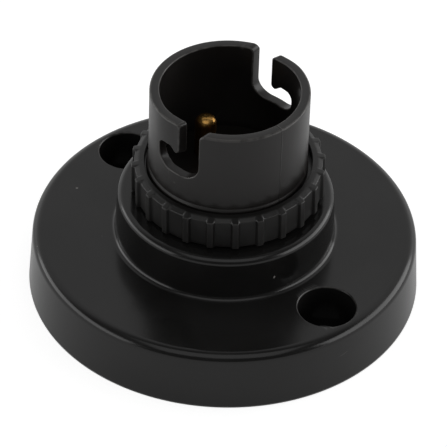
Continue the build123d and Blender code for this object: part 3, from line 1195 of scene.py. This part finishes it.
    def build(self, paint: Paintbox) -> None:
        """Builds the sleeve.

        Args:
            paint: The materials.
        """
        edge = self.top_edge()
        step = unit(np.diff(edge, axis=0))
        along = unit(np.concatenate((step[:1], step[:-1] + step[1:], step[-1:])))
        inward = np.stack((along[:, 1], -along[:, 0]), axis=1)
        outer_ring = edge + inward * (self.outer_rounds(edge)[:, None] + self.edge_margin)
        inner_ring = edge + inward * (self.inner_round + self.edge_margin)
        outer_bottom = self.foot_top + self.foot_rise
        inner_bottom = self.bottom + self.bore_rise
        skins = [
            self.edge_skin(edge, inward),
            self.face_skin(outer_ring, outer_bottom, self.radius),
            self.face_skin(inner_ring, inner_bottom, self.bore),
            self.foot_skin(inner_bottom, outer_bottom),
        ]
        piece = piece_of("bayonet_barrel", skins)
        place = Place("barrel", "root", "barrel_plastic")
        complete(piece, place, paint.barrel, crease=50.0, marked_from=outer_bottom)


@dataclass
class LockRing:
    """The ribbed nut whose lip clamps the barrel on the neck. It is loose on its thread and sits askew."""

    bore: float = 14.75
    radius: float = 15.4
    lip_bore: float = 13.75
    bottom: float = 19.0
    lip_bottom: float = 23.8
    top: float = 24.66
    edge_round: float = 0.2
    lip_round: float = 0.12
    lip_edge_round: float = 0.1
    bevel_width: float = 0.75
    bevel_drop: float = 0.45
    crown_round: float = 0.9
    pitch: float = 0.22
    rib_count: int = 24
    rib_phase: float = 8.5
    rib_width: float = 1.6
    rib_crest: float = 0.8
    rib_height: float = 0.52
    rib_drop: float = 0.35
    crest_points: int = 5
    flank_points: int = 9
    land_points: int = 7
    loose_shift: float = 0.3
    loose_lift: float = 0.32
    loose_tip: float = 1.5

    def angles(self) -> tuple[np.ndarray, np.ndarray]:
        """Columns round the ring, close together on the ribs' flanks.

        Returns:
            The angle of each column and its distance from the middle of its rib.
        """
        pitch = FULL_TURN * self.radius / self.rib_count
        half = self.rib_width / 2.0
        crest = self.rib_crest / 2.0
        crown = np.linspace(-crest, crest, self.crest_points)
        rise = np.linspace(crest, half, self.flank_points)[1:]
        land = np.linspace(half, pitch - half, self.land_points)[1:]
        fall = np.linspace(pitch - half, pitch - crest, self.flank_points)[1:-1]
        offset = np.concatenate((crown, rise, land, fall))
        steps = np.arange(self.rib_count)[:, None] * pitch
        angle = ((offset[None, :] + steps) / self.radius).reshape(-1) + math.radians(self.rib_phase)
        away = np.abs((np.tile(offset, self.rib_count) + pitch / 2.0) % pitch - pitch / 2.0)
        return angle, away

    def section(self, outer: float, shoulder: float) -> np.ndarray:
        """The ring's half section with a given outer radius and height of its outer top corner."""
        corners = (
            (self.bore, self.bottom, self.edge_round),
            (outer, self.bottom, self.edge_round),
            (outer, shoulder, self.edge_round),
            (self.radius - self.bevel_width, self.top, self.crown_round),
            (self.lip_bore, self.top, self.lip_edge_round),
            (self.lip_bore, self.lip_bottom, self.lip_round),
            (self.bore, self.lip_bottom, self.lip_round),
        )
        line = rounded(corners, steps=5, margin=0.04)
        return np.concatenate((line, line[:1]))

    def skin(self) -> Skin:
        """The ring as a section carried round the axis.

        On the lands the section has a crowned top corner. On a rib's crest it stands further out and its top slopes
        down to it. On a flank it is a smooth blend of the two.
        """
        land = self.section(self.radius, self.top - self.bevel_drop)
        rib = self.section(self.radius + self.rib_height, self.top - self.rib_drop)
        line = spaced(np.concatenate((land, rib), axis=1), self.pitch)[:-1]
        angle, away = self.angles()
        share = 1.0 - smoothstep(away, self.rib_crest / 2.0, self.rib_width / 2.0)
        radius = line[:, :1] + (line[:, 2:3] - line[:, :1]) * share[None, :]
        height = line[:, 1:2] + (line[:, 3:] - line[:, 1:2]) * share[None, :]
        return grid_skin(polar(radius, angle, height), close_rows=True, close_columns=True)

    def askew(self, ring: Skin) -> Skin:
        """Sets the loose ring askew: tipped up towards +Y about its top, then lifted and shifted that way."""
        tip = math.radians(self.loose_tip)
        below = ring.points[:, 2] - self.top
        along = ring.points[:, 1] * math.cos(tip) - below * math.sin(tip)
        height = ring.points[:, 1] * math.sin(tip) + below * math.cos(tip) + self.top
        points = np.stack((ring.points[:, 0], along, height), axis=1)
        return Skin(points, ring.faces).moved(0.0, self.loose_shift, self.loose_lift)

    def build(self, paint: Paintbox) -> None:
        """Builds the ring.

        Args:
            paint: The materials.
        """
        piece = piece_of("ribbed_lock_ring", [self.askew(self.skin())])
        complete(piece, Place("lock_ring", "lock_ring", "ring_plastic"), paint.ring, crease=60.0)


@dataclass
class SprungContact:
    """One brass plunger with the coil spring that stands under it."""

    side: Side
    offset: float = 5.5
    stem_radius: float = 1.75
    dome_round: float = 1.4
    collar_radius: float = 2.2
    collar_round: float = 0.12
    tail_radius: float = 1.1
    tail_round: float = 0.2
    corner_round: float = 0.1
    tip: float = 30.6
    collar_top: float = 20.2
    collar_bottom: float = 19.0
    tail_bottom: float = 17.0
    seat: float = 9.8
    wire: float = 0.45
    coil_radius: float = 1.575
    turns: float = 4.5
    coil_points: int = 200
    closing: float = 0.7
    play: float = 0.02
    pressed_share: float = 0.346

    def plunger_skin(self) -> Skin:
        """The plunger as a turned half section, from its tail to the domed tip."""
        corners = (
            (0.0, self.tail_bottom, 0.0),
            (self.tail_radius, self.tail_bottom, self.tail_round),
            (self.tail_radius, self.collar_bottom, self.corner_round),
            (self.collar_radius, self.collar_bottom, self.collar_round),
            (self.collar_radius, self.collar_top, self.collar_round),
            (self.stem_radius, self.collar_top, self.corner_round),
            (self.stem_radius, self.tip, self.dome_round),
            (0.0, self.tip, 0.0),
        )
        return turned(rounded(corners, steps=10, margin=0.03)[1:-1], columns=64, closed=False)

    def spring_skin(self) -> Skin:
        """The spring as a round wire along a coil.

        The wire's angle grows evenly. Its height is the share of the way less a sine of it, so the coils lie close
        at both ends and open in the middle.
        """
        share = np.linspace(0.0, 1.0, self.coil_points)
        eased = share - self.closing * np.sin(FULL_TURN * share) / FULL_TURN
        low = self.seat + self.wire / 2.0
        high = self.collar_bottom - self.play - self.wire / 2.0
        path = polar(self.coil_radius, FULL_TURN * self.turns * share, low + (high - low) * eased)
        return tube(path, self.wire / 2.0, sides=12)

    def build(self, paint: Paintbox) -> None:
        """Builds the plunger and its spring.

        Args:
            paint: The materials.
        """
        label = self.side.name.lower()
        shift = self.offset * self.side.value
        plunger = piece_of(f"brass_plunger_{label}", [self.plunger_skin().moved(shift, 0.0, 0.0)])
        place = Place(f"plunger_{label}", f"plunger_{label}", "plunger_brass")
        complete(plunger, place, paint.plunger, crease=40.0)
        spring = piece_of(f"coil_spring_{label}", [self.spring_skin().moved(shift, 0.0, 0.0)])
        complete(spring, Place(f"plunger_spring_{label}", "root", "spring_steel"), paint.spring, crease=60.0)
        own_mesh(spring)


@dataclass
class Insides:
    """The socket's floor, the contact block, the terminals and their screws, which keep their solids' shapes."""

    floor_nodes: tuple[str, ...] = ("contact_disc", "contact_block")
    terminal_nodes: tuple[str, ...] = ("terminal_left", "terminal_right")
    screw_nodes: tuple[str, ...] = ("terminal_screw_left", "terminal_screw_right")

    def build(self, paint: Paintbox) -> None:
        """Dresses the nodes.

        Args:
            paint: The materials.
        """
        finishes = (
            (self.floor_nodes, paint.insulator),
            (self.terminal_nodes, paint.terminal),
            (self.screw_nodes, paint.screw),
        )
        for nodes, material in finishes:
            for node in nodes:
                dress(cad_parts[node], material)
                LOG.info("node %s dressed", node)


@dataclass(frozen=True)
class Softbox:
    """A square studio lamp that faces the holder. Its bearing is counted from the camera's side to the right."""

    name: str
    bearing: float
    elevation: float
    distance: float
    width: float
    height: float
    radiance: float

    def build(self, camera_bearing: float) -> None:
        """Makes the lamp.

        Args:
            camera_bearing: Angle of the camera's side round the lamp axis, in degrees.
        """
        light = bpy.data.lights.new(self.name, "AREA")
        light.shape = "RECTANGLE"
        light.size = self.width
        light.size_y = self.height
        light.energy = self.radiance * math.pi * self.width * self.height
        lamp = bpy.data.objects.new(self.name, light)
        turn = math.radians(camera_bearing + self.bearing)
        lift = math.radians(self.elevation)
        away = Vector((math.cos(turn) * math.cos(lift), math.sin(turn) * math.cos(lift), math.sin(lift)))
        lamp.location = away * self.distance
        lamp.rotation_euler = away.to_track_quat("Z", "Y").to_euler()
        lamp.visible_camera = False
        bpy.context.scene.collection.objects.link(lamp)


@dataclass
class Studio:
    """Floor, lamps, surroundings and the camera at the photograph's place."""

    lens: float = 281.9
    sensor: float = 36.0
    sight: float = 20.0
    camera_distance: float = 588.0
    camera_elevation: float = 41.701
    pan: float = -0.021
    tilt: float = -0.815
    roll: float = -2.025
    turn: float = 48.0
    floor_reach: float = 3.0
    floor_colour: Colour = (0.5, 0.5, 0.5)
    floor_white: float = 0.8
    floor_mirror: float = 0.3
    footprint: float = 32.5
    ambient: float = 0.1
    sweep: float = 0.5
    sweep_edge: Limits = (-0.1, 0.5)
    sweep_top: Limits = (0.85, 1.0)
    horizon: float = 0.3
    horizon_band: Limits = (0.15, 0.6)
    softboxes: tuple[Softbox, ...] = (
        Softbox("top_softbox", bearing=0.0, elevation=62.0, distance=1.4, width=1.5, height=1.1, radiance=0.65),
        Softbox("left_softbox", bearing=-85.0, elevation=8.0, distance=1.3, width=1.9, height=0.9, radiance=1.9),
        Softbox("right_softbox", bearing=92.0, elevation=16.0, distance=1.3, width=1.8, height=0.9, radiance=2.2),
    )

    def build_camera(self) -> None:
        """Places the camera.

        It stands at its distance and elevation in front, looks at the origin, is then panned, tilted and rolled a
        little about its own axes, and the whole is swung round the lamp axis.
        """
        lift = math.radians(self.camera_elevation)
        sine = math.sin(lift)
        cosine = math.cos(lift)
        place = Vector((0.0, -cosine, sine)) * self.camera_distance * MM
        level = Matrix(((1.0, 0.0, 0.0), (0.0, sine, cosine), (0.0, -cosine, sine)))
        own = (
            Matrix.Rotation(math.radians(self.roll), 3, "Z")
            @ Matrix.Rotation(math.radians(self.tilt), 3, "X")
            @ Matrix.Rotation(math.radians(self.pan), 3, "Y")
        )
        swing = Matrix.Rotation(math.radians(self.turn), 3, "Z")
        facing = swing @ (own @ level).transposed()
        data = bpy.data.cameras.new("photo_camera")
        data.lens = self.lens
        data.sensor_width = self.sensor
        data.clip_end = self.sight
        camera = bpy.data.objects.new("photo_camera", data)
        camera.matrix_world = Matrix.Translation(swing @ place) @ facing.to_4x4()
        bpy.context.scene.collection.objects.link(camera)
        bpy.context.scene.camera = camera

    def build_floor(self) -> None:
        """Lays a wide pale floor that looks white to the camera and pale in reflections, and takes the shadow.

        Under the holder the floor has no whiteness of its own, so the fixing holes stay dark.
        """
        reach = np.linspace(-self.floor_reach, self.floor_reach, 3) / MM
        across, along = np.meshgrid(reach, reach)
        points = np.stack((across, along, np.zeros_like(across)), axis=-1)
        floor = piece_of("pale_floor", [grid_skin(points)])
        material = bpy.data.materials.new("pale_floor")
        material.use_nodes = True
        desk = NodeDesk(material.node_tree)
        material.node_tree.nodes.clear()
        rays = desk.add("ShaderNodeLightPath").outputs
        mirrored = desk.math("MAXIMUM", rays["Is Glossy Ray"], rays["Is Transmission Ray"])
        white = desk.times(rays["Is Camera Ray"], self.floor_white)
        white = desk.math("ADD", white, desk.times(mirrored, self.floor_mirror))
        place = desk.add("ShaderNodeTexCoord").outputs["Object"]
        away = desk.add("ShaderNodeVectorMath", {"operation": "LENGTH"}, in_0=place).outputs["Value"]
        open_floor = desk.math("GREATER_THAN", away, self.footprint * MM)
        glow = desk.add("ShaderNodeEmission", Strength=desk.times(white, open_floor))
        matt = desk.add("ShaderNodeBsdfDiffuse", Color=(*self.floor_colour, 1.0))
        both = desk.add("ShaderNodeAddShader", in_0=matt.outputs[0], in_1=glow.outputs[0])
        desk.add("ShaderNodeOutputMaterial", Surface=both.outputs[0])
        dress(floor, material)

    def build_world(self) -> None:
        """Surrounds the scene with white for the camera, and for the rest with a pale sweep behind the holder.

        The sweep's strength follows a direction's part away from the camera. It is strongest at the horizon and
        fades out overhead.
        """
        world = bpy.data.worlds.new("studio")
        world.use_nodes = True
        bpy.context.scene.world = world
        desk = NodeDesk(world.node_tree)
        world.node_tree.nodes.clear()
        rays = desk.add("ShaderNodeLightPath").outputs
        way = desk.add("ShaderNodeTexCoord").outputs["Generated"]
        bearing = math.radians(self.turn + QUARTER_TURN_DEGREES)
        away = (math.cos(bearing), math.sin(bearing), 0.0)
        product = desk.add("ShaderNodeVectorMath", {"operation": "DOT_PRODUCT"}, in_0=way, in_1=away)
        height = desk.add("ShaderNodeSeparateXYZ", Vector=way).outputs["Z"]
        share = desk.span(product.outputs["Value"], *self.sweep_edge, 0.0, 1.0)
        share = desk.times(share, desk.span(height, *self.sweep_top, 1.0, 0.0))
        level = desk.span(height, *self.horizon_band, self.sweep + self.horizon, self.sweep)
        pale = desk.math("ADD", desk.times(share, level), self.ambient)
        strength = desk.span(rays["Is Camera Ray"], 0.0, 1.0, pale, 1.0)
        sky = desk.add("ShaderNodeBackground", Color=(1.0, 1.0, 1.0, 1.0), Strength=strength)
        desk.add("ShaderNodeOutputWorld", Surface=sky.outputs[0])

    def build(self) -> None:
        """Builds the whole studio."""
        self.build_camera()
        self.build_floor()
        self.build_world()
        for softbox in self.softboxes:
            softbox.build(self.turn - QUARTER_TURN_DEGREES)
        bpy.context.scene.view_settings.view_transform = "Standard"
        LOG.info("studio: %d lamps", len(self.softboxes))


def main() -> None:
    """Builds the holder piece by piece, then the studio."""
    logging.basicConfig(level=logging.INFO, format="%(name)s: %(message)s")
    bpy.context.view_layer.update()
    paint = Paintbox()
    BaseMoulding().build(paint)
    BayonetBarrel().build(paint)
    LockRing().build(paint)
    for side in Side:
        SprungContact(side).build(paint)
    Insides().build(paint)
    Studio().build()


if __name__ == "__main__":
    main()
